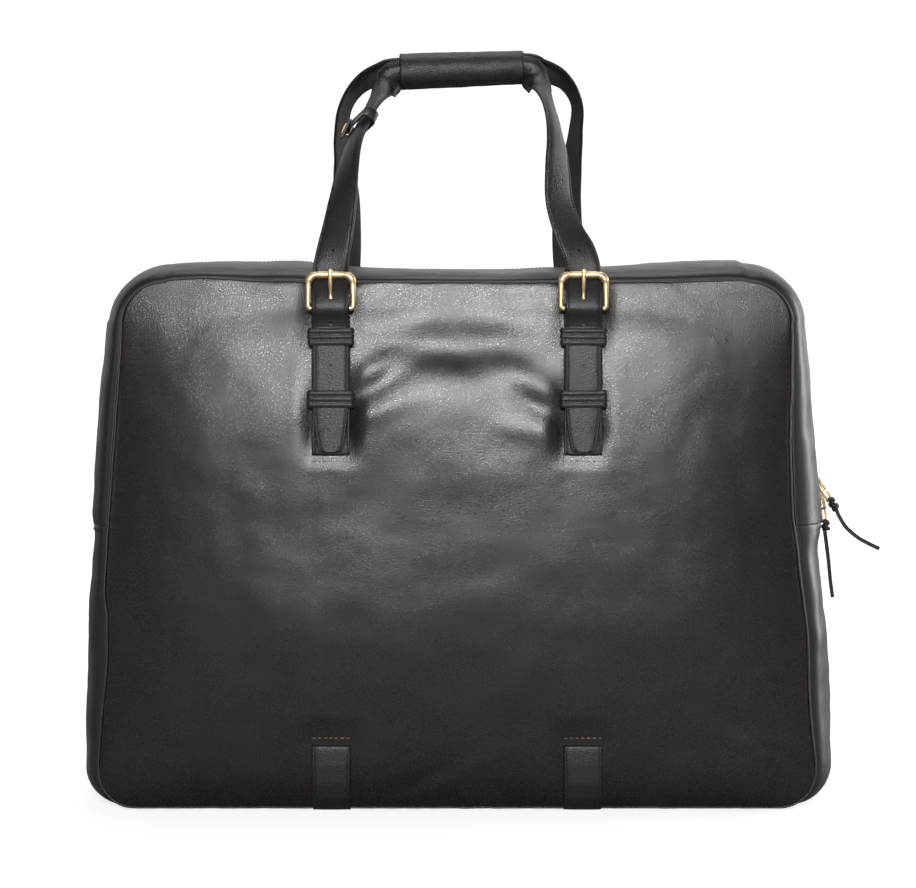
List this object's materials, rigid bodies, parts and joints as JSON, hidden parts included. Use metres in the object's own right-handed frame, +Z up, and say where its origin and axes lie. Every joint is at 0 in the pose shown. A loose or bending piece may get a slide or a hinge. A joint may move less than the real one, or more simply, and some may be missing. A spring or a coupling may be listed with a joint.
{
  "type": "garment bag",
  "caption": "Soft-sided leather travel bag with a zip over its top and sides, buckled carrying straps that meet in a shared hand grip, and straps passing under its base.",
  "frame": {"origin": "on the floor, at the middle of the base", "axes": "+Z up, +X to the right as seen from the front, and the front face looks along -Y"},
  "size_m": [0.6972, 0.2194, 0.6524],
  "materials": {
    "panel_leather": "satin pebbled grain",
    "gusset_leather": "satin smooth grain",
    "strap_leather": "matte fine grain with stitched edges",
    "brass": "satin",
    "zip_tape": "woven",
    "lining": "woven cotton",
    "board": "matte",
    "core": "twisted cord"
  },
  "bodies": {
    "bag": {"front_panel": "panel_leather", "back_panel": "panel_leather", "lower_gusset": "gusset_leather", "upper_gusset_front": "gusset_leather", "upper_gusset_rear": "gusset_leather", "zip_tape_front": "zip_tape", "zip_tape_rear": "zip_tape", "zip_teeth_front": "brass", "zip_teeth_rear": "brass", "support_strap_left": "strap_leather", "support_strap_right": "strap_leather", "base_board": "board", "lining": "lining", "buckle_frame_front_left": "brass", "keeper_upper_front_left": "strap_leather", "strap_tail_front_left": "strap_leather", "strap_flex_front_left": "strap_leather", "buckle_frame_front_right": "brass", "keeper_upper_front_right": "strap_leather", "strap_tail_front_right": "strap_leather", "strap_flex_front_right": "strap_leather", "buckle_frame_rear_left": "brass", "keeper_upper_rear_left": "strap_leather", "strap_tail_rear_left": "strap_leather", "strap_flex_rear_left": "strap_leather", "buckle_frame_rear_right": "brass", "keeper_upper_rear_right": "strap_leather", "strap_tail_rear_right": "strap_leather", "strap_flex_rear_right": "strap_leather"},
    "handle": {"handle_strap_front": "strap_leather", "handle_strap_rear": "strap_leather", "grip_wrap": "strap_leather", "grip_core": "core"},
    "tag_loop": {"tag_loop_strap": "strap_leather", "tag_buckle": "brass"},
    "slider_upper": {"zip_slider_upper": "brass"},
    "pull_upper": {"zip_pull_upper": "brass", "pull_knot_upper": "strap_leather", "pull_thong_upper": "strap_leather"},
    "slider_lower": {"zip_slider_lower": "brass"},
    "pull_lower": {"zip_pull_lower": "brass", "pull_knot_lower": "strap_leather", "pull_thong_lower": "strap_leather"},
    "roller_front_left": {"buckle_roller_front_left": "brass"},
    "prong_front_left": {"buckle_prong_front_left": "brass"},
    "keeper_front_left": {"keeper_lower_front_left": "strap_leather"},
    "roller_front_right": {"buckle_roller_front_right": "brass"},
    "prong_front_right": {"buckle_prong_front_right": "brass"},
    "keeper_front_right": {"keeper_lower_front_right": "strap_leather"},
    "roller_rear_left": {"buckle_roller_rear_left": "brass"},
    "prong_rear_left": {"buckle_prong_rear_left": "brass"},
    "keeper_rear_left": {"keeper_lower_rear_left": "strap_leather"},
    "roller_rear_right": {"buckle_roller_rear_right": "brass"},
    "prong_rear_right": {"buckle_prong_rear_right": "brass"},
    "keeper_rear_right": {"keeper_lower_rear_right": "strap_leather"}
  },
  "joints": [
    {"name": "handle_sway", "type": "hinge", "parent": "bag", "child": "handle", "pos_m": [0, 0, 0.455], "axis": [1, 0, 0], "range_deg": [-8, 8], "stiffness_Nm_per_rad": 3, "deforming": ["strap_flex_front_left", "strap_flex_front_right", "strap_flex_rear_left", "strap_flex_rear_right"]},
    {"name": "tag_loop_slide", "type": "slide", "parent": "handle", "child": "tag_loop", "axis": [0.2779, 0.6161, 0.737], "range_m": [-0.005, 0.005]},
    {"name": "upper_zip_slide", "type": "slide", "parent": "bag", "child": "slider_upper", "axis": [-0.0974, 0, 0.9952], "range_m": [0, 0.13]},
    {"name": "lower_zip_slide", "type": "slide", "parent": "bag", "child": "slider_lower", "axis": [-0.0974, 0, 0.9952], "range_m": [-0.008, 0]},
    {"name": "upper_pull_swing", "type": "hinge", "parent": "slider_upper", "child": "pull_upper", "pos_m": [0.31952, 0, 0.27054], "axis": [0, -1, 0], "range_deg": [-8, 95]},
    {"name": "lower_pull_swing", "type": "hinge", "parent": "slider_lower", "child": "pull_lower", "pos_m": [0.32084, 0, 0.25705], "axis": [0, -1, 0], "range_deg": [-1, 15]},
    {"name": "roller_spin_front_left", "type": "hinge", "parent": "bag", "child": "roller_front_left", "pos_m": [-0.1055, -0.1019, 0.4503], "axis": [1, 0, 0], "continuous": true},
    {"name": "prong_lift_front_left", "type": "hinge", "parent": "bag", "child": "prong_front_left", "pos_m": [-0.1055, -0.1019, 0.4223], "axis": [1, 0, 0], "range_deg": [0, 7]},
    {"name": "keeper_slide_front_left", "type": "slide", "parent": "bag", "child": "keeper_front_left", "axis": [0, 0, 1], "range_m": [-0.022, 0.034]},
    {"name": "roller_spin_front_right", "type": "hinge", "parent": "bag", "child": "roller_front_right", "pos_m": [0.1055, -0.1019, 0.4503], "axis": [1, 0, 0], "continuous": true},
    {"name": "prong_lift_front_right", "type": "hinge", "parent": "bag", "child": "prong_front_right", "pos_m": [0.1055, -0.1019, 0.4223], "axis": [1, 0, 0], "range_deg": [0, 7]},
    {"name": "keeper_slide_front_right", "type": "slide", "parent": "bag", "child": "keeper_front_right", "axis": [0, 0, 1], "range_m": [-0.022, 0.034]},
    {"name": "roller_spin_rear_left", "type": "hinge", "parent": "bag", "child": "roller_rear_left", "pos_m": [-0.1055, 0.1019, 0.4503], "axis": [1, 0, 0], "continuous": true},
    {"name": "prong_lift_rear_left", "type": "hinge", "parent": "bag", "child": "prong_rear_left", "pos_m": [-0.1055, 0.1019, 0.4223], "axis": [-1, 0, 0], "range_deg": [0, 7]},
    {"name": "keeper_slide_rear_left", "type": "slide", "parent": "bag", "child": "keeper_rear_left", "axis": [0, 0, 1], "range_m": [-0.022, 0.034]},
    {"name": "roller_spin_rear_right", "type": "hinge", "parent": "bag", "child": "roller_rear_right", "pos_m": [0.1055, 0.1019, 0.4503], "axis": [1, 0, 0], "continuous": true},
    {"name": "prong_lift_rear_right", "type": "hinge", "parent": "bag", "child": "prong_rear_right", "pos_m": [0.1055, 0.1019, 0.4223], "axis": [-1, 0, 0], "range_deg": [0, 7]},
    {"name": "keeper_slide_rear_right", "type": "slide", "parent": "bag", "child": "keeper_rear_right", "axis": [0, 0, 1], "range_m": [-0.022, 0.034]}
  ]
}
